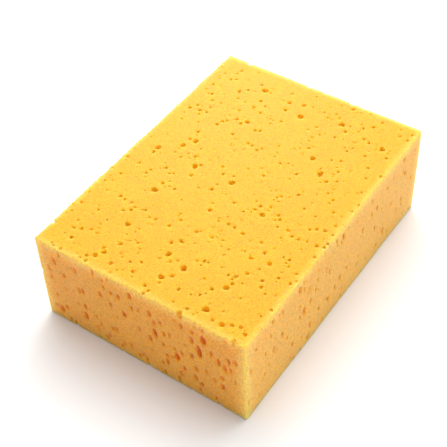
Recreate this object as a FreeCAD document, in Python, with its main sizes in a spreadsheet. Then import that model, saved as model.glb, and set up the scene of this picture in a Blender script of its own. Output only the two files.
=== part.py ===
"""A decorator's foam sponge: one block of yellow open-cell foam, cut square on all six faces.

Frame: +X along the block's length, +Y across its width, +Z up. The origin is the centre of the
underside, where the block rests. Lengths are in millimetres and angles in degrees.

The foam rose along Z as it was made, so its bubbles are tall ellipsoids that all lean the same way.
The knife went through them, and each bubble that it met is a hollow that is open in a face. The
block holds the wide hollows. The fine cells between them belong to the material.
"""

import FreeCAD
import Part
import Sketcher

import math
import os
import random

V = FreeCAD.Vector

# The driving dimensions, as the spreadsheet's aliases.
SIZES = {
    "block_length": 152.0,
    "block_width": 110.0,
    "block_height": 51.0,
    "edge_round": 0.6,  # the knife leaves a nearly sharp edge, which handling softens
    "cell_width": 3.0,  # across a wide bubble
    "cell_stretch": 2.2,  # a bubble's height over its width
    "cell_sink": 0.15,  # a bubble's centre lies this share of its half size behind the face
    "lean_x": -8.0,  # how far the bubbles lean towards +X and towards +Y
    "lean_y": 8.0,
}

# The wide hollows, by the face that they open in. Each has its place on that face, its width as a
# share of cell_width and its height as a share of the usual height. On the top face the place is
# X and Y, on the end face, at -X, it is Y and Z, and on the side face, at -Y, it is X and Z.
TOP_CELLS = [
    (-64, -5, 0.95, 1),
    (-61, -8.5, 0.7, 1),
    (-55, -10, 1, 1),
    (-52, 0, 0.9, 1),
    (-69.5, 26, 0.8, 1),
    (-66, 24, 0.8, 1),
    (-58.5, 21, 0.7, 1),
    (-47.5, 25.5, 0.85, 1),
    (-69.5, 17.5, 0.65, 1),
    (-68, -30.5, 1.05, 1),
    (-54, -31, 0.9, 1),
    (-71, -40.5, 0.8, 1),
    (-69, -44, 0.65, 1),
    (-33.5, -39, 0.75, 1),
    (-35, -30.5, 0.6, 1),
    (-24, 28.5, 1, 1),
    (-1.5, 1.5, 0.95, 1),
    (-21, 0, 0.7, 1),
    (-11, -21, 0.85, 1),
    (-9.5, -29, 0.6, 1),
    (-7.5, -27, 0.6, 1),
    (25, -29, 0.95, 1),
    (54, -1, 1, 1),
    (59.5, -20.5, 0.95, 1),
    (54.5, -45, 0.9, 1),
    (32, -21, 0.85, 1),
    (12.5, 31.5, 0.85, 1),
    (7, 35, 0.85, 1),
    (-0.5, 44, 0.9, 1),
    (61.5, 24, 1, 1),
    (37, 18.5, 0.8, 1),
    (-1.5, 22, 0.95, 1),
    # These three break the edges of the face.
    (-75.5, -22.5, 1, 1),
    (-64, 54.5, 0.8, 1),
    (75.5, 42, 0.8, 1),
]
END_CELLS = [
    (-34, 41, 1, 0.85),
    (-31.5, 32, 0.95, 1.35),
    (-28, 37.5, 0.55, 1.5),
    (-41.5, 32, 0.6, 1.2),
    (-44.5, 30, 0.6, 1.5),
    (-50, 37.5, 0.6, 1.1),
    (-43, 15.5, 0.7, 1),
    (-19.5, 19.5, 0.95, 0.9),
    (-8.5, 28, 0.9, 1),
    (-13.5, 31, 0.6, 0.9),
    (-27.5, 26, 0.6, 1),
    (-29, 11.5, 0.6, 1.1),
    (-23, 13.5, 0.65, 0.9),
    (-5.5, 22.5, 0.65, 1.1),
    (3.5, 45, 0.65, 1.1),
    (8, 29.5, 0.7, 0.9),
    (31.5, 12.5, 0.75, 1.2),
    (45.5, 41, 0.6, 1.4),
    (46.5, 7.5, 0.85, 0.9),
    (10, 40, 0.6, 1),
]
SIDE_CELLS = [
    (-54.5, 25.5, 0.65, 1.4),
    (-48, 29, 0.6, 1),
    (-30, 26, 0.9, 1),
    (-25, 28, 0.6, 1),
    (-24.5, 11, 0.7, 1.1),
    (-39.5, 13, 0.6, 1.1),
    (-9, 13, 0.85, 0.7),
    (1.5, 17.5, 0.65, 1.1),
    (-34, 44, 0.8, 0.9),
    (43, 11, 0.7, 1.4),
]

# The three faces with no listed hollows have them scattered: so many to a square centimetre, with
# room between them and from the face's edges, and with widths as shares of cell_width.
SCATTER_SEED = 11
CELLS_PER_CM2 = 0.16
CELL_GAP = 6.0
EDGE_MARGIN = 5.0
SCATTER_WIDTHS = (0.6, 1.0)

CM2 = 100.0

# The finished solid's check: how finely it is meshed, and the share by which its hollows may differ
# from the volume that the bubbles have in common with the block. The mesh's facets use up most of it.
MESH_ERROR = 0.05
HOLLOW_ERROR = 0.005

# A bubble's tips stay this far from the face that cuts it. A cut through a tip, where the wall's
# lines all meet, is trimmed on the wrong side when the solid is meshed, and leaves a bump.
TIP_GAP = 0.04


def build_sheet(doc):
    """The spreadsheet of driving dimensions, one aliased cell each."""
    sheet = doc.addObject("Spreadsheet::Sheet", "sizes")
    for row, (alias, value) in enumerate(SIZES.items(), start=1):
        sheet.set(f"A{row}", alias)
        sheet.set(f"B{row}", str(value))
        sheet.setAlias(f"B{row}", alias)
    doc.recompute()
    return sheet


def origin_plane(body, role):
    """The body's own origin plane of that role."""
    return next(plane for plane in body.Origin.OriginFeatures if plane.Role == role)


def draw_centred_rectangle(sketch, length_alias, width_alias, sheet):
    """A rectangle about the sketch's origin, with its two sides driven by the sheet."""
    half_x = sheet.get(length_alias) / 2
    half_y = sheet.get(width_alias) / 2
    corners = [
        V(-half_x, -half_y, 0),
        V(half_x, -half_y, 0),
        V(half_x, half_y, 0),
        V(-half_x, half_y, 0),
    ]
    for start, end in zip(corners, corners[1:] + corners[:1]):
        sketch.addGeometry(Part.LineSegment(start, end), False)
    front, right, back, left = range(4)
    start_point, end_point, origin = 1, 2, -1
    for first, second in ((front, right), (right, back), (back, left), (left, front)):
        sketch.addConstraint(
            Sketcher.Constraint("Coincident", first, end_point, second, start_point)
        )
    for line in (front, back):
        sketch.addConstraint(Sketcher.Constraint("Horizontal", line))
    for line in (right, left):
        sketch.addConstraint(Sketcher.Constraint("Vertical", line))
    sketch.addConstraint(
        Sketcher.Constraint("Symmetric", front, start_point, right, end_point, origin, 1)
    )
    for name, kind, line, alias in (
        ("length", "DistanceX", front, length_alias),
        ("width", "DistanceY", right, width_alias),
    ):
        index = sketch.addConstraint(
            Sketcher.Constraint(kind, line, start_point, line, end_point, sheet.get(alias))
        )
        sketch.renameConstraint(index, name)
        sketch.setExpression(f"Constraints.{name}", f"sizes.{alias}")


def build_block(doc, sheet):
    """The block as the knife leaves it: a padded rectangle with all twelve edges softened."""
    body = doc.addObject("PartDesign::Body", "cut_block")
    sketch = body.newObject("Sketcher::SketchObject", "block_outline")
    sketch.AttachmentSupport = (origin_plane(body, "XY_Plane"), [""])
    sketch.MapMode = "FlatFace"
    draw_centred_rectangle(sketch, "block_length", "block_width", sheet)
    pad = body.newObject("PartDesign::Pad", "block_pad")
    pad.Profile = sketch
    pad.setExpression("Length", "sizes.block_height")
    doc.recompute()
    rounding = body.newObject("PartDesign::Fillet", "softened_edges")
    rounding.Base = (pad, [f"Edge{i}" for i in range(1, len(pad.Shape.Edges) + 1)])
    rounding.setExpression("Radius", "sizes.edge_round")
    doc.recompute()
    return body


def scattered_places(rng, across, up):
    """Places for scattered hollows on a face of that size, measured from one corner."""
    places = []
    wanted = round(CELLS_PER_CM2 * across * up / CM2)
    while len(places) < wanted:
        a = rng.uniform(EDGE_MARGIN, across - EDGE_MARGIN)
        b = rng.uniform(EDGE_MARGIN, up - EDGE_MARGIN)
        if all(math.hypot(a - c, b - d) > CELL_GAP for c, d, _ in places):
            places.append((a, b, rng.uniform(*SCATTER_WIDTHS)))
    return places


def scattered_cells(sheet):
    """The hollows of the far end, the far side and the underside, listed as the others are."""
    rng = random.Random(SCATTER_SEED)
    length = sheet.block_length
    width = sheet.block_width
    height = sheet.block_height
    return {
        "far_end": [
            (a - width / 2, b, share, 1)
            for a, b, share in scattered_places(rng, width, height)
        ],
        "far_side": [
            (a - length / 2, b, share, 1)
            for a, b, share in scattered_places(rng, length, height)
        ],
        "underside": [
            (a - length / 2, b - width / 2, share, 1)
            for a, b, share in scattered_places(rng, length, width)
        ],
    }


def centre_expressions(face, first, second, arc):
    """A hollow's centre, as expressions: on its face, and sunk behind it by a share of its size."""
    sunk_up = f"sizes.cell_sink * {arc.Name}.MajorRadius"
    sunk_in = f"sizes.cell_sink * {arc.Name}.MinorRadius"
    return {
        "top": (first, second, f"sizes.block_height * 1 mm - {sunk_up}"),
        "underside": (first, second, sunk_up),
        "end": (f"-sizes.block_length / 2 * 1 mm + {sunk_in}", first, second),
        "far_end": (f"sizes.block_length / 2 * 1 mm - {sunk_in}", first, second),
        "side": (first, f"-sizes.block_width / 2 * 1 mm + {sunk_in}", second),
        "far_side": (first, f"sizes.block_width / 2 * 1 mm - {sunk_in}", second),
    }[face]


def build_cell(doc, sheet, face, first, second, share, tallness):
    """One bubble: half an ellipse turned about its long axis, which leans with the foam."""
    half_width = f"sizes.cell_width * {share} / 2"
    arc = doc.addObject("Part::Ellipse", f"arc_{face}")
    arc.setExpression("MinorRadius", half_width)
    arc.setExpression("MajorRadius", f"{half_width} * sizes.cell_stretch * {tallness}")
    arc.Angle1 = 0
    arc.Angle2 = 180
    axis = doc.addObject("Part::Line", f"axis_{face}")
    axis.setExpression("X1", f"-{arc.Name}.MajorRadius")
    axis.setExpression("X2", f"{arc.Name}.MajorRadius")
    for coordinate in ("Y1", "Z1", "Y2", "Z2"):
        setattr(axis, coordinate, 0)
    profile = doc.addObject("Part::Compound", f"profile_{face}")
    profile.Links = [arc, axis]
    cell = doc.addObject("Part::Revolution", f"cell_{face}")
    cell.Source = profile
    cell.Axis = V(1, 0, 0)
    cell.Angle = 360
    cell.Solid = True
    rise = V(
        math.tan(math.radians(sheet.lean_x)), math.tan(math.radians(sheet.lean_y)), 1
    )
    cell.Placement = FreeCAD.Placement(V(), FreeCAD.Rotation(V(1, 0, 0), rise))
    for letter, place in zip("xyz", centre_expressions(face, first, second, arc)):
        cell.setExpression(f"Placement.Base.{letter}", str(place))
    return cell


def build_foam_block(doc, sheet):
    """The whole sponge: the cut block with every wide bubble hollowed out of it."""
    block = build_block(doc, sheet)
    faces = {"top": TOP_CELLS, "end": END_CELLS, "side": SIDE_CELLS}
    faces.update(scattered_cells(sheet))
    cells = [
        build_cell(doc, sheet, face, *numbers)
        for face, listed in faces.items()
        for numbers in listed
    ]
    bubbles = doc.addObject("Part::Compound", "bubbles")
    bubbles.Links = cells
    foam = doc.addObject("Part::Cut", "foam")
    foam.Base = block
    foam.Tool = bubbles
    foam.Label = "foam_block"
    doc.recompute()
    return foam


def mesh_volume(points, triangles):
    """The volume inside a closed mesh."""
    return sum(points[a].dot(points[b].cross(points[c])) for a, b, c in triangles) / 6


def nearest_tip(foam):
    """The distance from the planes of the block's faces to the nearest tip of a bubble."""
    room = foam.Base.Shape.BoundBox
    planes = [(room.XMin, room.XMax), (room.YMin, room.YMax), (room.ZMin, room.ZMax)]
    gaps = []
    for cell in foam.Tool.Links:
        half_height = cell.Source.Links[0].MajorRadius.Value
        for end in (-half_height, half_height):
            tip = cell.Placement.multVec(V(end, 0, 0))
            gaps += [abs(tip[i] - level) for i in range(3) for level in planes[i]]
    return min(gaps)


def check(doc, foam):
    """Stops the build if a feature failed, or if a bubble didn't leave one hollow behind its face.

    The hollows' volume is measured on the solid's mesh, because the exact solid's own integral is
    out by about a tenth of it on faces with this many holes.
    """
    failed = [o.Label for o in doc.Objects if {"Invalid", "Error"} & set(o.State)]
    if failed:
        raise RuntimeError(f"these objects failed: {failed}")
    shape = foam.Shape
    block = foam.Base.Shape
    bubbles = [cell.Shape for cell in foam.Tool.Links]
    if shape.isNull() or not shape.isValid() or len(shape.Solids) != 1:
        raise RuntimeError("the foam block isn't one valid solid")
    walls = sum(isinstance(face.Surface, Part.SurfaceOfRevolution) for face in shape.Faces)
    if walls != len(bubbles):
        raise RuntimeError(f"{len(bubbles)} bubbles left {walls} curved walls")
    if nearest_tip(foam) < TIP_GAP:
        raise RuntimeError(f"a bubble's tip is {nearest_tip(foam):.3f} mm from a face's plane")
    points, triangles = shape.tessellate(MESH_ERROR)
    room = block.BoundBox
    room.enlarge(MESH_ERROR)
    if not all(room.isInside(point) for point in points):
        raise RuntimeError("a bubble's wall bulges out of the block")
    removed = mesh_volume(*block.tessellate(MESH_ERROR)) - mesh_volume(points, triangles)
    expected = sum(block.common(bubble).Volume for bubble in bubbles)
    print(f"foam_block: {walls} hollows of {removed:.0f} mm3, and {expected:.0f} mm3 expected")
    if abs(removed - expected) > HOLLOW_ERROR * expected:
        raise RuntimeError("the bubbles didn't take out the volume that they should")


def main():
    doc = FreeCAD.newDocument("foam_sponge")
    sheet = build_sheet(doc)
    foam = build_foam_block(doc, sheet)
    check(doc, foam)
    os.makedirs("parts", exist_ok=True)
    foam.Shape.exportStep(f"parts/{foam.Label}.step")


main()
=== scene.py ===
"""The looks of the foam sponge: a cut block of yellow open-cell foam, on a white studio floor.

The block is one closed mesh. It is made from a field of distances: the block that the knife cut, less
every bubble that the knife opened. Lengths here are in millimetres until the mesh is made.
"""

import math
import random

import bpy
import numpy as np
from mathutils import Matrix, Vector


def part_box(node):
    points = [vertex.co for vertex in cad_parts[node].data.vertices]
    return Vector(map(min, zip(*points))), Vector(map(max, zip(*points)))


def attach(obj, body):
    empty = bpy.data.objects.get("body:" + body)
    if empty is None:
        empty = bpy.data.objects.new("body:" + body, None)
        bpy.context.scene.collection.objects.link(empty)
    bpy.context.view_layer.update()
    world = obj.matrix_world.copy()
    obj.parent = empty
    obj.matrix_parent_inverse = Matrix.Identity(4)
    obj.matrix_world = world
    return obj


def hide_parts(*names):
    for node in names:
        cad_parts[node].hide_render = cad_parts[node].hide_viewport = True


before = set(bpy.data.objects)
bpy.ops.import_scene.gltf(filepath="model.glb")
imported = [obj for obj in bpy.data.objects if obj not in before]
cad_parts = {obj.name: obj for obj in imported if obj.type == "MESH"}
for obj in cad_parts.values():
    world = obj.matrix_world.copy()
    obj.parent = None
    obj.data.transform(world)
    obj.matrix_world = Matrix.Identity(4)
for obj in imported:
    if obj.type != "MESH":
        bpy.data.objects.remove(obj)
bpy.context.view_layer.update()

import openvdb
from mathutils import Matrix, Vector

MM = 0.001
CM2 = 100.0

LOW, HIGH = (np.array(corner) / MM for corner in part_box("foam_block"))
LENGTH, WIDTH, HEIGHT = HIGH - LOW

# The bubbles' shape, which the CAD block's wide hollows share. They are tall, and lean as the foam
# rose. Each is sunk behind the face that it opens in by a share of its half size.
CELL_WIDTH = 3.0
CELL_STRETCH = 2.2
CELL_SINK = 0.15
LEAN_X = math.radians(-8.0)
LEAN_Y = math.radians(8.0)

# The CAD block's wide hollows: the place on the face, the width as a share of CELL_WIDTH and the
# height as a share of the usual one. The place is X and Y on the top face, Y and Z on the end face,
# at -X, and X and Z on the side face, at -Y.
TOP_WIDE = [
    (-64, -5, 0.95, 1), (-61, -8.5, 0.7, 1), (-55, -10, 1, 1), (-52, 0, 0.9, 1),
    (-69.5, 26, 0.8, 1), (-66, 24, 0.8, 1), (-58.5, 21, 0.7, 1), (-47.5, 25.5, 0.85, 1),
    (-69.5, 17.5, 0.65, 1), (-68, -30.5, 1.05, 1), (-54, -31, 0.9, 1), (-71, -40.5, 0.8, 1),
    (-69, -44, 0.65, 1), (-33.5, -39, 0.75, 1), (-35, -30.5, 0.6, 1), (-24, 28.5, 1, 1),
    (-1.5, 1.5, 0.95, 1), (-21, 0, 0.7, 1), (-11, -21, 0.85, 1), (-9.5, -29, 0.6, 1),
    (-7.5, -27, 0.6, 1), (25, -29, 0.95, 1), (54, -1, 1, 1), (59.5, -20.5, 0.95, 1),
    (54.5, -45, 0.9, 1), (32, -21, 0.85, 1), (12.5, 31.5, 0.85, 1), (7, 35, 0.85, 1),
    (-0.5, 44, 0.9, 1), (61.5, 24, 1, 1), (37, 18.5, 0.8, 1), (-1.5, 22, 0.95, 1),
    (-75.5, -22.5, 1, 1), (-64, 54.5, 0.8, 1), (75.5, 42, 0.8, 1),
]
END_WIDE = [
    (-34, 41, 1, 0.85), (-31.5, 32, 0.95, 1.35), (-28, 37.5, 0.55, 1.5), (-41.5, 32, 0.6, 1.2),
    (-44.5, 30, 0.6, 1.5), (-50, 37.5, 0.6, 1.1), (-43, 15.5, 0.7, 1), (-19.5, 19.5, 0.95, 0.9),
    (-8.5, 28, 0.9, 1), (-13.5, 31, 0.6, 0.9), (-27.5, 26, 0.6, 1), (-29, 11.5, 0.6, 1.1),
    (-23, 13.5, 0.65, 0.9), (-5.5, 22.5, 0.65, 1.1), (3.5, 45, 0.65, 1.1), (8, 29.5, 0.7, 0.9),
    (31.5, 12.5, 0.75, 1.2), (45.5, 41, 0.6, 1.4), (46.5, 7.5, 0.85, 0.9), (10, 40, 0.6, 1),
]
SIDE_WIDE = [
    (-54.5, 25.5, 0.65, 1.4), (-48, 29, 0.6, 1), (-30, 26, 0.9, 1), (-25, 28, 0.6, 1),
    (-24.5, 11, 0.7, 1.1), (-39.5, 13, 0.6, 1.1), (-9, 13, 0.85, 0.7), (1.5, 17.5, 0.65, 1.1),
    (-34, 44, 0.8, 0.9), (43, 11, 0.7, 1.4),
]

# The CAD block's scattered wide hollows, on its other three faces: how many to a square centimetre,
# how far apart, how far from the face's edges, and how wide. part.py draws them in the same way.
WIDE_SEED = 11
WIDE_PER_CM2 = 0.16
WIDE_GAP = 6.0
WIDE_MARGIN = 5.0
WIDE_SHARES = (0.6, 1.0)

# Narrower hollows that still show singly, as places on the three faces that have them listed.
TOP_NARROW = [
    (-74.5, 41), (-74, 27.5), (-71.5, 29), (-58.5, 37), (-60.5, 41), (-47.5, 42), (-62, 44.5),
    (-24, 48), (-13.5, 45), (-35.5, 39), (-36, 36), (-36, 32), (-42, 32.5), (-40, 29.5),
    (-37.5, 29), (-18.5, 28), (4, 25.5), (0.5, 20), (-7.5, 20), (-10, 7), (1, 8), (5, 11),
    (-17, 1.5), (-35, -2.5), (-34, -10), (-24.5, -7), (-11.5, -6.5), (10, -8), (21, -10),
    (51.5, -11.5), (60, 9), (35, 10), (24.5, 10), (46, 5), (62, 2), (46, 17), (53.5, 21.5),
    (48, 22), (36, 24), (31, 29), (28, 30), (18.5, 34.5), (41.5, 42), (32, 43), (31, 48),
    (34.5, 46), (52, 48.5), (61, 41), (54, 34.5), (-39, 20), (-38.5, 17), (-54, 15),
    (-38.5, 9.5), (-33, 7.5), (-68, 7), (-62, 7), (-56, 2), (-46, 3), (-43, 0), (-55, -3),
    (-75, -4), (-73, -5), (-71.5, -2), (-65.5, -15), (-47, -15), (-48.5, -12.5), (-55, -20.5),
    (-72, -24), (-58, -26.5), (-48, -28), (-49, -30.5), (-51, -32), (-43, -34), (-43, -41.5),
    (-46, -43), (-38, -46.5), (-71, -36), (-68, -47.5), (-75, -49), (-27, -45), (-30.5, -46.5),
    (-25, -29.5), (-25, -20), (-7, -17.5), (-10, -16.5), (8, -28), (22, -34), (19, -20),
    (56, -24.5), (62.5, -30.5), (56, -34.5), (55, -37.5), (50, -49.5), (40, -45.5), (38, -53),
    (66, -52), (66, -34), (72, -19.5), (11, -42), (13.5, -42.5), (7, -46.5), (12, -53),
    (17, -53.5), (16, -38.5), (2, -34.5), (0.5, -41), (-5.5, -45.5), (-4.5, -49), (-14, -50.5),
    (-7.5, -43), (-15, -42), (-13, -35.5), (-13.5, -30.5), (-5, -53), (-20, -53), (-13, -53.5),
    (-32, -51.5), (-38, -52), (-35.5, -53.5), (-54, -53), (-70, -51),
]
END_NARROW = [
    (-47.5, 30.5), (-49.5, 24), (-43, 22), (-39, 17.5), (-46.5, 36), (-38, 35), (-31, 4.5),
    (-21, 9), (-20, 3.5), (-12, 3), (-2, 5), (2, 5), (-41, 1), (-39.5, 4.5), (-17, 17),
    (-12.5, 23), (-14, 12), (-12, 37.5), (-8.5, 35), (3, 37), (14, 40), (15, 32), (20.5, 35),
    (14, 15), (10, 8), (6.5, 9), (18.5, 8), (25, 9), (23, 12.5), (31, 19.5), (35, 19), (31, 30),
    (33, 29.5), (41, 34), (33.5, 42.5), (42, 47.5), (23, 48), (15, 48), (18, 46), (-23, 43),
    (-28.5, 42.5), (-34, 48), (-45, 48.5), (-49, 49.5), (-29.5, 18.5), (-22.5, 24), (49, 29),
    (48, 17), (43, 11), (42, 3), (25, 2), (39, 2), (-16.5, 32.5), (0, 25), (-6.5, 40),
]
SIDE_NARROW = [
    (-75, 35), (-72, 31), (-68, 41), (-61, 30), (-57, 38), (-58.5, 20), (-63.5, 16), (-74, 11.5),
    (-66, 7), (-41, 5), (-48, 44.5), (-31, 46), (-55.5, 46), (-34, 33), (-26, 37), (-33.5, 25),
    (-44, 22.5), (-3, 15), (0.5, 42), (-4, 47), (-12, 36), (-14, 49), (-9, 32), (17, 12),
    (28, 44), (29, 35), (34, 35), (43, 40), (39, 30), (21, 31), (49, 25), (56, 14), (59, 37),
    (69, 26), (-14, 3.5), (-25.5, 4.5), (3, 4),
]
NARROW_SHARES = (0.42, 0.6)
NARROW_TALLNESS = (0.8, 1.4)

# The narrower hollows that are scattered on the other three faces.
NARROW_PER_CM2 = 0.7
NARROW_GAP = 2.2
NARROW_MARGIN = 0.5

# The small bubbles between them fill the foam evenly near its faces. A bubble opens where it crosses
# a face by more than a dimple and less than its whole height.
SMALL_SEED = 5
SMALL_PER_MM3 = 0.019
SMALL_HALF_WIDTH = 0.47
SMALL_SPREAD = 0.3
SMALL_LIMITS = (0.36, 0.9)
SMALL_TALLNESS = (0.75, 1.25)
OPEN_LIMITS = (-0.55, 0.8)
SHELL = 3.5
CLUSTER_SHARE = 0.15
ROOM_APART = 1.15
ROOM_IN_CLUSTER = 0.8

# The field of distances: its grid's pitch, the steps past the block each way, the farthest distance
# that it keeps, and how far its mesh is thinned out where the surface is flat.
PITCH = 0.4
BORDER = 5
FAR = 4 * PITCH
ADAPTIVITY = 0.25

# The cut block's edges, and the slight unevenness of a face cut in soft foam: waves, each with its
# height and span, that run aslant to the block.
EDGE_ROUND = 0.6
WAVES = [(0.12, 47.0), (0.06, 19.0), (0.04, 7.0)]
WAVE_TURN = 1.7
WAVE_SLANTS = (0.6, 0.8, -0.5)

# A bubble's rim, and its wall, which has two lobes and three shallower ones.
RIM_SOFTNESS = 0.15
WALL_WOBBLE = 0.1
THREE_LOBES = 0.6
TURN = 6.28

# The foam's colour on its top and underside, its ends and its sides, by the depth in millimetres: from
# the cut face to the bottom of a deep bubble. These are lit and shaded copies of one foam: the ends are
# darker and more orange than the sides as painted shade, and down the bubbles the colour darkens on the
# ends and sides as painted shade and pales on the top as painted light against the bubbles' shade.
# Along the edges, but not those it rests on, a paler colour is painted light that shines through the
# thin foam, and it fades over its reach, on the top and on the upright faces.
TOP_COLOURS_AND_LIGHT = [
    (0.1, (0.87, 0.472, 0.025)),
    (0.45, (0.87, 0.53, 0.025)),
    (1.0, (0.92, 0.61, 0.021)),
    (2.2, (0.96, 0.68, 0.022)),
]
END_COLOURS_AND_SHADE = [
    (0.1, (0.91, 0.385, 0.022)),
    (0.6, (0.88, 0.28, 0.020)),
    (1.2, (0.83, 0.185, 0.005)),
    (2.2, (0.80, 0.125, 0.002)),
]
SIDE_COLOURS_AND_SHADE = [
    (0.1, (0.92, 0.455, 0.047)),
    (0.6, (0.91, 0.40, 0.039)),
    (1.2, (0.87, 0.29, 0.024)),
    (2.2, (0.84, 0.20, 0.012)),
]
# Painted light: the paler colour along the edges stands in for light shining through the thin foam.
EDGE_GLOW_COLOUR = (0.95, 0.585, 0.105)
EDGE_GLOW_REACH = (4.0, 7.5)

# How far round an edge the colours of two faces blend, and the painted contact shadow: the foot of the
# upright faces darkens towards the floor, down to this shade over this reach.
UPRIGHT_BLEND = 0.6
CONTACT_SHADE = 0.3
CONTACT_REACH = 1.3

# The fine pattern, taller than wide as the bubbles are. Patches, mottle and cells have a size in
# millimetres, then the shades that they run between.
PATTERN_STRETCH = 1.6
PATCHES = (22, 0.95, 1.05)
MOTTLE = (1.2, 0.78, 1.22)
CELLS = (0.7, 1.12, 0.74)
GRAIN_SIZE = 0.4
# The pinholes' dark, deeper orange spots are painted shade in pits that the mesh doesn't have.
PINHOLE_SPACING = 1.7
PINHOLE_RADIUS = 0.42
PINHOLE_BOTTOM = 0.4
PINHOLE_SHADE = (0.86, 0.74, 0.5)

# The foam's finish: the roughness that the mottle runs between, and the bump of its cells and grain.
ROUGHNESS = (0.4, 0.7)
BUMP_STRENGTH = 0.6
BUMP_HEIGHT = 0.2
FINISH = {
    "Specular IOR Level": 0.3,
    "Sheen Weight": 0.1,
    "Sheen Roughness": 0.6,
    "Subsurface Weight": 1.0,
    "Subsurface Radius": (1.0, 0.6, 0.3),
    "Subsurface Scale": 9.0 * MM,
}

# The studio: a dim white room that shows as pure white, and a wide floor.
ROOM_LIGHT = 0.59
ROOM_SEEN = 1.1
FLOOR_REACH = 4.0
FLOOR_COLOUR = (0.9, 0.9, 0.9)

# The suns: strength, width, azimuth, elevation and colour. They aren't mirrored in the foam.
SUNS = {
    "key": (2.5, 60, 18, 60, (1.0, 1.0, 1.0)),
    "fill": (0.45, 60, 290, 25, (0.92, 1.0, 1.0)),
}
SUN_DISTANCE = 1.0

# The lamps behind the block: power, side, distance, azimuth, elevation and what they are hidden from.
LAMPS = {
    "shine": (1.3, 0.25, 0.45, 35, 35, "visible_diffuse"),
    "glow": (0.17, 0.12, 0.28, 35, 55, "visible_glossy"),
}

# The camera: its lens, where it looks, and from how far away and which way.
SENSOR_WIDTH = 36.0
LENS = 84.65
CAMERA_AIM = (-5.1, 4.5, 25.5)
CAMERA_DISTANCE = 493.0
CAMERA_AZIMUTH = math.radians(216.03)
CAMERA_ELEVATION = math.radians(46.43)
CAMERA_ROLL = math.radians(-2.42)

# The way that the foam rose, and the block's faces: the two axes along a face, the axis across it,
# the level where it lies on that one, and the way in.
AXIS = np.array([math.tan(LEAN_X), math.tan(LEAN_Y), 1.0])
AXIS = AXIS / np.linalg.norm(AXIS)
FACES = {
    "top": (0, 1, 2, HIGH[2], -1),
    "underside": (0, 1, 2, LOW[2], 1),
    "end": (1, 2, 0, LOW[0], 1),
    "far_end": (1, 2, 0, HIGH[0], -1),
    "side": (0, 2, 1, LOW[1], 1),
    "far_side": (0, 2, 1, HIGH[1], -1),
}


def bubble_on(face, first, second, share, tallness=1.0):
    """A bubble that opens in a face: its centre, half width and half height."""
    first_axis, second_axis, depth_axis, level, inward = FACES[face]
    half_width = CELL_WIDTH * share / 2
    half_height = half_width * CELL_STRETCH * tallness
    sunk = CELL_SINK * (half_height if depth_axis == 2 else half_width)
    centre = np.zeros(3)
    centre[first_axis] = first
    centre[second_axis] = second
    centre[depth_axis] = level + inward * sunk
    return centre, half_width, half_height


def scattered_places(rng, across, up, per_cm2, gap, margin, shares):
    """Places on a face of that size, measured from one corner, each with a width share."""
    places = []
    wanted = round(per_cm2 * across * up / CM2)
    while len(places) < wanted:
        a = rng.uniform(margin, across - margin)
        b = rng.uniform(margin, up - margin)
        if all(math.hypot(a - c, b - d) > gap for c, d, _ in places):
            places.append((a, b, rng.uniform(*shares)))
    return places


def listed_bubbles():
    """The wide and narrow bubbles of the three faces that have them listed."""
    rng = random.Random(SMALL_SEED)
    wide = {"top": TOP_WIDE, "end": END_WIDE, "side": SIDE_WIDE}
    narrow = {"top": TOP_NARROW, "end": END_NARROW, "side": SIDE_NARROW}
    found = [bubble_on(face, *numbers) for face, listed in wide.items() for numbers in listed]
    for face, listed in narrow.items():
        for first, second in listed:
            tallness = rng.uniform(*NARROW_TALLNESS)
            found.append(bubble_on(face, first, second, rng.uniform(*NARROW_SHARES), tallness))
    return found


def hidden_face_bubbles():
    """The bubbles of the far end, the far side and the underside: the CAD block's, then narrower."""
    rng = random.Random(WIDE_SEED)
    narrow_rng = random.Random(SMALL_SEED)
    found = []
    for face, across, up in (
        ("far_end", WIDTH, HEIGHT),
        ("far_side", LENGTH, HEIGHT),
        ("underside", LENGTH, WIDTH),
    ):
        first_axis, second_axis, *_ = FACES[face]
        corner = LOW[first_axis], LOW[second_axis]
        places = scattered_places(
            rng, across, up, WIDE_PER_CM2, WIDE_GAP, WIDE_MARGIN, WIDE_SHARES
        )
        places += scattered_places(
            narrow_rng, across, up, NARROW_PER_CM2, NARROW_GAP, NARROW_MARGIN, NARROW_SHARES
        )
        for a, b, share in places:
            found.append(bubble_on(face, corner[0] + a, corner[1] + b, share))
    return found


def opening(centre, half_width, half_height):
    """How far a bubble is behind the nearest face, as a share of its reach towards that face."""
    best = None
    for _, _, axis, level, inward in FACES.values():
        reach = math.sqrt(
            half_width**2 + (half_height**2 - half_width**2) * AXIS[axis] ** 2
        )
        behind = inward * (centre[axis] - level) / reach
        best = behind if best is None else min(best, behind)
    return best


def small_bubbles(taken):
    """Small bubbles through the outer few millimetres of the foam, clear of the ones taken."""
    rng = np.random.default_rng(SMALL_SEED)
    low, high = LOW - SHELL / 2, HIGH + SHELL / 2
    count = int(SMALL_PER_MM3 * np.prod(high - low))
    centres = rng.uniform(low, high, (count, 3))
    widths = SMALL_HALF_WIDTH * np.exp(rng.normal(0, SMALL_SPREAD, count))
    widths = np.clip(widths, *SMALL_LIMITS)
    stretches = CELL_STRETCH * rng.uniform(*SMALL_TALLNESS, count)
    crowded = rng.random(count) < CLUSTER_SHARE
    squash = np.array([1, 1, 1 / CELL_STRETCH])
    places = [centre * squash for centre, _, _ in taken]
    sizes = [half_width for _, half_width, _ in taken]
    found = []
    for centre, half_width, stretch, in_cluster in zip(centres, widths, stretches, crowded):
        if not OPEN_LIMITS[0] < opening(centre, half_width, half_width * stretch) < OPEN_LIMITS[1]:
            continue
        apart = np.linalg.norm(np.array(places) - centre * squash, axis=1)
        room = ROOM_IN_CLUSTER if in_cluster else ROOM_APART
        if (apart < room * (np.array(sizes) + half_width)).any():
            continue
        places.append(centre * squash)
        sizes.append(half_width)
        found.append((centre, half_width, half_width * stretch))
    return found


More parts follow.
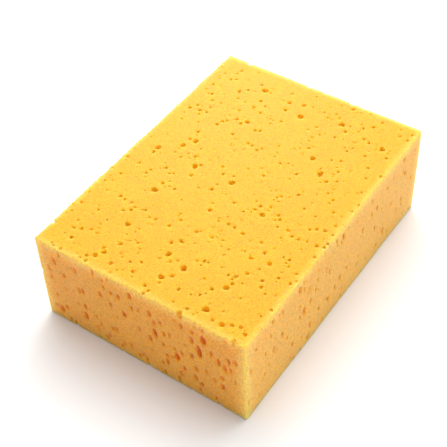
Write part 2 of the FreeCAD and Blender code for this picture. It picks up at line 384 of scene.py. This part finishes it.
def waviness(x, y, z):
    """How far the cut face is inside the true block there: a few slow waves, different on each face."""
    a, b, c = WAVE_SLANTS
    depth = 0
    for number, (height, span) in enumerate(WAVES):
        k = 2 * math.pi / span
        turn = WAVE_TURN * number
        depth = depth + height * (
            1 + np.sin(k * x + a * k * y + turn) * np.cos(b * k * y + c * k * z + 2 * turn)
        )
    return depth / 2


def block_distance(x, y, z):
    """The distance from the cut block's surface, less than zero inside it."""
    middle = (LOW + HIGH) / 2
    half = (HIGH - LOW) / 2 - EDGE_ROUND
    qx = np.abs(x - middle[0]) - half[0]
    qy = np.abs(y - middle[1]) - half[1]
    qz = np.abs(z - middle[2]) - half[2]
    outside = np.sqrt(
        np.maximum(qx, 0) ** 2 + np.maximum(qy, 0) ** 2 + np.maximum(qz, 0) ** 2
    )
    inside = np.minimum(np.maximum(qx, np.maximum(qy, qz)), 0)
    return outside + inside - EDGE_ROUND + waviness(x, y, z)


def grid_axes():
    """The grid's coordinates along X, Y and Z, a few steps past the block each way."""
    start = LOW - BORDER * PITCH
    steps = np.ceil((HIGH - LOW) / PITCH).astype(int) + 2 * BORDER + 1
    return start, [start[i] + PITCH * np.arange(steps[i], dtype=np.float32) for i in range(3)]


def bubble_distance(x, y, z, half_width, half_height, wobble):
    """The distance from a leaning bubble's wall, from its centre's side, with an uneven outline."""
    along = x * AXIS[0] + y * AXIS[1] + z * AXIS[2]
    dx, dy, dz = x - along * AXIS[0], y - along * AXIS[1], z - along * AXIS[2]
    around = np.arctan2(dy, dx)
    uneven = 1 + WALL_WOBBLE * (
        np.sin(2 * around + wobble[0]) + THREE_LOBES * np.sin(3 * around + wobble[1] + along)
    )
    across2 = (dx * dx + dy * dy + dz * dz) / (half_width * uneven) ** 2
    along2 = (along / half_height) ** 2
    k0 = np.sqrt(across2 + along2)
    k1 = np.sqrt(across2 / half_width**2 + along2 / half_height**2)
    return k0 * (k0 - 1) / np.maximum(k1, 1e-6)


def hollow_field(axes, start, bubbles):
    """The distance from the nearest bubble's wall over the whole grid, less than zero inside it."""
    rng = np.random.default_rng(SMALL_SEED)
    field = np.full([len(a) for a in axes], FAR, np.float32)
    for centre, half_width, half_height in bubbles:
        reach = np.sqrt(half_width**2 + (half_height**2 - half_width**2) * AXIS**2)
        reach = reach * (1 + 2 * WALL_WOBBLE) + 2 * PITCH
        first = np.maximum(np.floor((centre - reach - start) / PITCH).astype(int), 0)
        last = np.ceil((centre + reach - start) / PITCH).astype(int) + 1
        window = tuple(slice(a, b) for a, b in zip(first, last))
        x = axes[0][window[0]][:, None, None] - centre[0]
        y = axes[1][window[1]][None, :, None] - centre[1]
        z = axes[2][window[2]][None, None, :] - centre[2]
        wall = bubble_distance(x, y, z, half_width, half_height, rng.uniform(0, TURN, 2))
        field[window] = np.minimum(field[window], wall)
    return field


def soft_maximum(a, b, softness):
    """The larger of two distances, blended where they are within the softness of each other."""
    near = np.maximum(softness - np.abs(a - b), 0)
    return np.maximum(a, b) + near * near / (4 * softness)


def meshed(field, start):
    """The field's zero surface as points in millimetres, and lists of its faces' corners."""
    grid = openvdb.FloatGrid(background=FAR)
    grid.copyFromArray(field)
    points, triangles, quads = grid.convertToPolygons(isovalue=0, adaptivity=ADAPTIVITY)
    return points * PITCH + start, triangles, quads


def largest_part(count, triangles, quads):
    """Which of the points belong to the largest connected part of the surface."""
    first = np.concatenate([triangles[:, [0, 1]], quads[:, [0, 1, 2]]], axis=None)
    second = np.concatenate([triangles[:, [1, 2]], quads[:, [1, 2, 3]]], axis=None)
    labels = np.arange(count)
    while True:
        lowest = np.minimum(labels[first], labels[second])
        joined = labels.copy()
        np.minimum.at(joined, first, lowest)
        np.minimum.at(joined, second, lowest)
        joined = joined[joined]
        if (joined == labels).all():
            return labels == np.bincount(labels).argmax()
        labels = joined


def build_foam():
    """The whole block of foam, as one closed mesh in metres."""
    listed = listed_bubbles() + hidden_face_bubbles()
    bubbles = listed + small_bubbles(listed)
    start, axes = grid_axes()
    x, y, z = np.meshgrid(*axes, indexing="ij", sparse=True)
    field = block_distance(x, y, z).astype(np.float32)
    field = soft_maximum(field, -hollow_field(axes, start, bubbles), RIM_SOFTNESS)
    points, triangles, quads = meshed(field, start)
    kept = largest_part(len(points), triangles, quads)
    renumbered = np.cumsum(kept) - 1
    triangles = renumbered[triangles[kept[triangles[:, 0]]]]
    quads = renumbered[quads[kept[quads[:, 0]]]]
    points = points[kept]
    mesh = bpy.data.meshes.new("foam")
    mesh.from_pydata((points * MM).tolist(), [], [*triangles.tolist(), *quads.tolist()])
    mesh.shade_smooth()
    for name, values in surface_measures(points).items():
        attribute = mesh.attributes.new(name, "FLOAT", "POINT")
        attribute.data.foreach_set("value", values.astype(np.float32))
    return mesh


def surface_measures(points):
    """What the foam's colour depends on, at each point.

    The depth is how far a point is behind the face it is nearest to, in millimetres across a bubble.
    The edge is how far it is from the block's nearest edge, in millimetres, except those it rests on.
    Upright is 1 on the ends and sides and 0 on the top and underside, and end is 1 on the ends and 0 on
    the sides.
    """
    behind_z = np.minimum(points[:, 2] - LOW[2], HIGH[2] - points[:, 2]) / CELL_STRETCH
    behind_x = np.minimum(points[:, 0] - LOW[0], HIGH[0] - points[:, 0])
    behind_y = np.minimum(points[:, 1] - LOW[1], HIGH[1] - points[:, 1])
    behind_upright = np.minimum(behind_x, behind_y)
    from_faces = np.sort([behind_x, behind_y, HIGH[2] - points[:, 2]], axis=0)
    return {
        "depth_mm": np.maximum(np.minimum(behind_z, behind_upright), 0),
        "edge_mm": np.hypot(*np.maximum(from_faces[:2], 0)),
        "upright": np.clip(0.5 + (behind_z - behind_upright) / UPRIGHT_BLEND, 0, 1),
        "end": np.clip(0.5 + (behind_y - behind_x) / UPRIGHT_BLEND, 0, 1),
    }


def add_node(material, kind, **values):
    """A new node, with its inputs set or linked by name, and its other properties set."""
    node = material.node_tree.nodes.new(kind)
    for name, value in values.items():
        if hasattr(node, name):
            setattr(node, name, value)
            continue
        socket = node.inputs[name.replace("_", " ")]
        if isinstance(value, bpy.types.NodeSocket):
            material.node_tree.links.new(value, socket)
        else:
            socket.default_value = value
    return node


def measure(material, name):
    """One of the numbers stored at the mesh's points."""
    return add_node(material, "ShaderNodeAttribute", attribute_name=name).outputs["Fac"]


def mixed(material, share, first, second):
    """The first colour where the share is 0 and the second where it is 1."""
    mix = add_node(material, "ShaderNodeMix", data_type="RGBA")
    sockets = {socket.identifier: socket for socket in mix.inputs}
    material.node_tree.links.new(share, sockets["Factor_Float"])
    material.node_tree.links.new(first, sockets["A_Color"])
    material.node_tree.links.new(second, sockets["B_Color"])
    return next(socket for socket in mix.outputs if socket.identifier == "Result_Color")


def multiplied(material, colour, shade):
    """A colour times a grey shade."""
    product = add_node(material, "ShaderNodeVectorMath", operation="MULTIPLY")
    material.node_tree.links.new(colour, product.inputs[0])
    material.node_tree.links.new(shade, product.inputs[1])
    return product.outputs["Vector"]


def deepening_colour(material, colours):
    """A colour that changes with the depth inside a bubble, with the painted light and shade of its
    list.
    """
    deepest = colours[-1][0]
    share = add_node(
        material, "ShaderNodeMapRange", Value=measure(material, "depth_mm"), From_Max=deepest
    ).outputs["Result"]
    ramp = add_node(material, "ShaderNodeValToRGB", Fac=share)
    stops = ramp.color_ramp.elements
    stops[0].position = colours[0][0] / deepest
    stops[0].color = (*colours[0][1], 1)
    stops[1].color = (*colours[-1][1], 1)
    for depth, colour in colours[1:-1]:
        stops.new(depth / deepest).color = (*colour, 1)
    return ramp.outputs["Color"]


def shade_between(material, value, low, high):
    """A value from 0 to 1 as a grey shade from low to high."""
    return add_node(
        material, "ShaderNodeMapRange", Value=value, To_Min=low, To_Max=high
    ).outputs["Result"]


def same_everywhere(material, colour):
    """A single colour, to mix with others."""
    output = add_node(material, "ShaderNodeRGB").outputs["Color"]
    output.default_value = (*colour, 1)
    return output


def noise(material, place, size, detail):
    """A soft noise with features of that size."""
    return add_node(
        material, "ShaderNodeTexNoise", Vector=place, Scale=1 / size, Detail=detail
    ).outputs["Fac"]


def cell_distance(material, place, size):
    """How far a place is from the middle of its cell, among cells of that size."""
    return add_node(
        material, "ShaderNodeTexVoronoi", Vector=place, Scale=1 / size
    ).outputs["Distance"]


def foam_colour_and_painted_light(material, in_mm):
    """The foam's colour by its face, depth, edges and foot, before its fine pattern, with light and
    shade painted in: lit and shaded copies by face and depth, a painted glow along the edges and a
    painted contact shadow at the foot.
    """
    # The face and depth colours are lit and shaded copies of one foam, with painted shade and light.
    upright = measure(material, "upright")
    sides = deepening_colour(material, SIDE_COLOURS_AND_SHADE)
    ends = deepening_colour(material, END_COLOURS_AND_SHADE)
    upright_colour = mixed(material, measure(material, "end"), sides, ends)
    colour = mixed(material, upright, deepening_colour(material, TOP_COLOURS_AND_LIGHT), upright_colour)
    # Painted light along the top and upright edges, paler where light shines through the thin foam.
    from_edge = add_node(
        material,
        "ShaderNodeMapRange",
        interpolation_type="SMOOTHSTEP",
        Value=measure(material, "edge_mm"),
        From_Max=shade_between(material, upright, *EDGE_GLOW_REACH),
    ).outputs["Result"]
    colour = mixed(material, from_edge, same_everywhere(material, EDGE_GLOW_COLOUR), colour)
    # Painted contact shadow: the upright faces darken towards the floor.
    height_up = add_node(material, "ShaderNodeSeparateXYZ", Vector=in_mm).outputs["Z"]
    contact_shadow = add_node(
        material, "ShaderNodeMapRange", Value=height_up, From_Max=CONTACT_REACH, To_Min=CONTACT_SHADE
    ).outputs["Result"]
    return mixed(material, upright, colour, multiplied(material, colour, contact_shadow))


def with_pinholes(material, colour, place):
    """The colour, darker and deeper at the scattered pinholes, as painted shade in pits that the mesh
    doesn't have.
    """
    pinhole = add_node(
        material,
        "ShaderNodeMapRange",
        interpolation_type="SMOOTHSTEP",
        Value=cell_distance(material, place, PINHOLE_SPACING),
        From_Min=PINHOLE_BOTTOM * PINHOLE_RADIUS / PINHOLE_SPACING,
        From_Max=PINHOLE_RADIUS / PINHOLE_SPACING,
    ).outputs["Result"]
    tinted = multiplied(material, colour, same_everywhere(material, PINHOLE_SHADE))
    return mixed(material, pinhole, tinted, colour)


def foam_material():
    """Open-cell foam: warm yellow where it is cut, deeper orange down inside the bubbles, with light
    and shade painted into its colour by face, depth, edge and foot.
    """
    material = bpy.data.materials.new("yellow_foam")
    material.use_nodes = True
    shader = material.node_tree.nodes["Principled BSDF"]
    place = add_node(material, "ShaderNodeTexCoord").outputs["Object"]
    in_mm = add_node(
        material, "ShaderNodeMapping", Vector=place, Scale=(1 / MM, 1 / MM, 1 / MM)
    ).outputs["Vector"]
    tall = add_node(
        material, "ShaderNodeMapping", Vector=in_mm, Scale=(1, 1, 1 / PATTERN_STRETCH)
    ).outputs["Vector"]
    patches = noise(material, in_mm, PATCHES[0], 2.0)
    mottle = noise(material, tall, MOTTLE[0], 3.0)
    cells = cell_distance(material, tall, CELLS[0])
    colour = foam_colour_and_painted_light(material, in_mm)
    for pattern, (_, low, high) in ((patches, PATCHES), (mottle, MOTTLE), (cells, CELLS)):
        colour = multiplied(material, colour, shade_between(material, pattern, low, high))
    colour = with_pinholes(material, colour, tall)
    roughness = shade_between(material, mottle, *ROUGHNESS)
    height = add_node(material, "ShaderNodeMath", operation="ADD")
    material.node_tree.links.new(cells, height.inputs[0])
    material.node_tree.links.new(noise(material, tall, GRAIN_SIZE, 2.0), height.inputs[1])
    bump = add_node(
        material,
        "ShaderNodeBump",
        Height=height.outputs[0],
        Strength=BUMP_STRENGTH,
        Distance=BUMP_HEIGHT * MM,
    ).outputs["Normal"]
    for name, output in (("Base Color", colour), ("Roughness", roughness), ("Normal", bump)):
        material.node_tree.links.new(output, shader.inputs[name])
    for name, value in FINISH.items():
        shader.inputs[name].default_value = value
    return material


def build_floor():
    """The white studio floor that the block lies on."""
    mesh = bpy.data.meshes.new("floor")
    r = FLOOR_REACH
    mesh.from_pydata([(-r, -r, 0), (r, -r, 0), (r, r, 0), (-r, r, 0)], [], [(0, 1, 2, 3)])
    material = bpy.data.materials.new("white_floor")
    material.use_nodes = True
    shader = material.node_tree.nodes["Principled BSDF"]
    shader.inputs["Base Color"].default_value = (*FLOOR_COLOUR, 1)
    shader.inputs["Roughness"].default_value = 1.0
    shader.inputs["Specular IOR Level"].default_value = 0.0
    mesh.materials.append(material)
    floor = bpy.data.objects.new("floor", mesh)
    bpy.context.scene.collection.objects.link(floor)


def light_studio():
    """A white room, two wide suns, and two lamps behind the block."""
    world = bpy.data.worlds.new("white_room")
    bpy.context.scene.world = world
    world.use_nodes = True
    background = world.node_tree.nodes["Background"]
    seen = world.node_tree.nodes.new("ShaderNodeLightPath").outputs["Is Camera Ray"]
    strength = world.node_tree.nodes.new("ShaderNodeMapRange")
    strength.inputs["To Min"].default_value = ROOM_LIGHT
    strength.inputs["To Max"].default_value = ROOM_SEEN
    world.node_tree.links.new(seen, strength.inputs["Value"])
    world.node_tree.links.new(strength.outputs["Result"], background.inputs["Strength"])
    background.inputs["Color"].default_value = (1, 1, 1, 1)
    world.cycles_visibility.glossy = False
    for name, (energy, angle, azimuth, elevation, colour) in SUNS.items():
        lamp = bpy.data.lights.new(name, "SUN")
        lamp.energy = energy
        lamp.angle = math.radians(angle)
        lamp.color = colour
        hang(lamp, azimuth, elevation, SUN_DISTANCE).visible_glossy = False
    for name, (power, size, distance, azimuth, elevation, hidden_from) in LAMPS.items():
        lamp = bpy.data.lights.new(name, "AREA")
        lamp.energy = power
        lamp.size = size
        setattr(hang(lamp, azimuth, elevation, distance), hidden_from, False)


def hang(lamp, azimuth, elevation, distance):
    """Hang a lamp that way and that far from the block's middle, shining back at it."""
    towards = from_angles(math.radians(azimuth), math.radians(elevation))
    lamp_object = bpy.data.objects.new(lamp.name, lamp)
    lamp_object.location = Vector((LOW + HIGH) / 2) * MM + towards * distance
    lamp_object.rotation_mode = "QUATERNION"
    lamp_object.rotation_quaternion = towards.to_track_quat("Z", "Y")
    bpy.context.scene.collection.objects.link(lamp_object)
    return lamp_object


def from_angles(azimuth, elevation):
    """The unit vector towards an azimuth, counted from +X towards +Y, and an elevation."""
    return Vector((
        math.cos(elevation) * math.cos(azimuth),
        math.cos(elevation) * math.sin(azimuth),
        math.sin(elevation),
    ))


def place_camera():
    """The camera, looking down on the corner between the end face and the side face."""
    camera = bpy.data.cameras.new("camera")
    camera.sensor_width = SENSOR_WIDTH
    camera.lens = LENS
    camera_object = bpy.data.objects.new("camera", camera)
    bpy.context.scene.collection.objects.link(camera_object)
    towards_camera = from_angles(CAMERA_AZIMUTH, CAMERA_ELEVATION)
    turn = towards_camera.to_track_quat("Z", "Y").to_matrix().to_4x4()
    aim = Vector(CAMERA_AIM) * MM
    camera_object.matrix_world = (
        Matrix.Translation(aim + towards_camera * CAMERA_DISTANCE * MM)
        @ turn
        @ Matrix.Rotation(CAMERA_ROLL, 4, "Z")
    )
    bpy.context.scene.camera = camera_object


foam = bpy.data.objects.new("foam", build_foam())
bpy.context.scene.collection.objects.link(foam)
foam.data.materials.append(foam_material())
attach(foam, "root")
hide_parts("foam_block")

build_floor()
light_studio()
place_camera()
bpy.context.scene.view_settings.view_transform = "Standard"
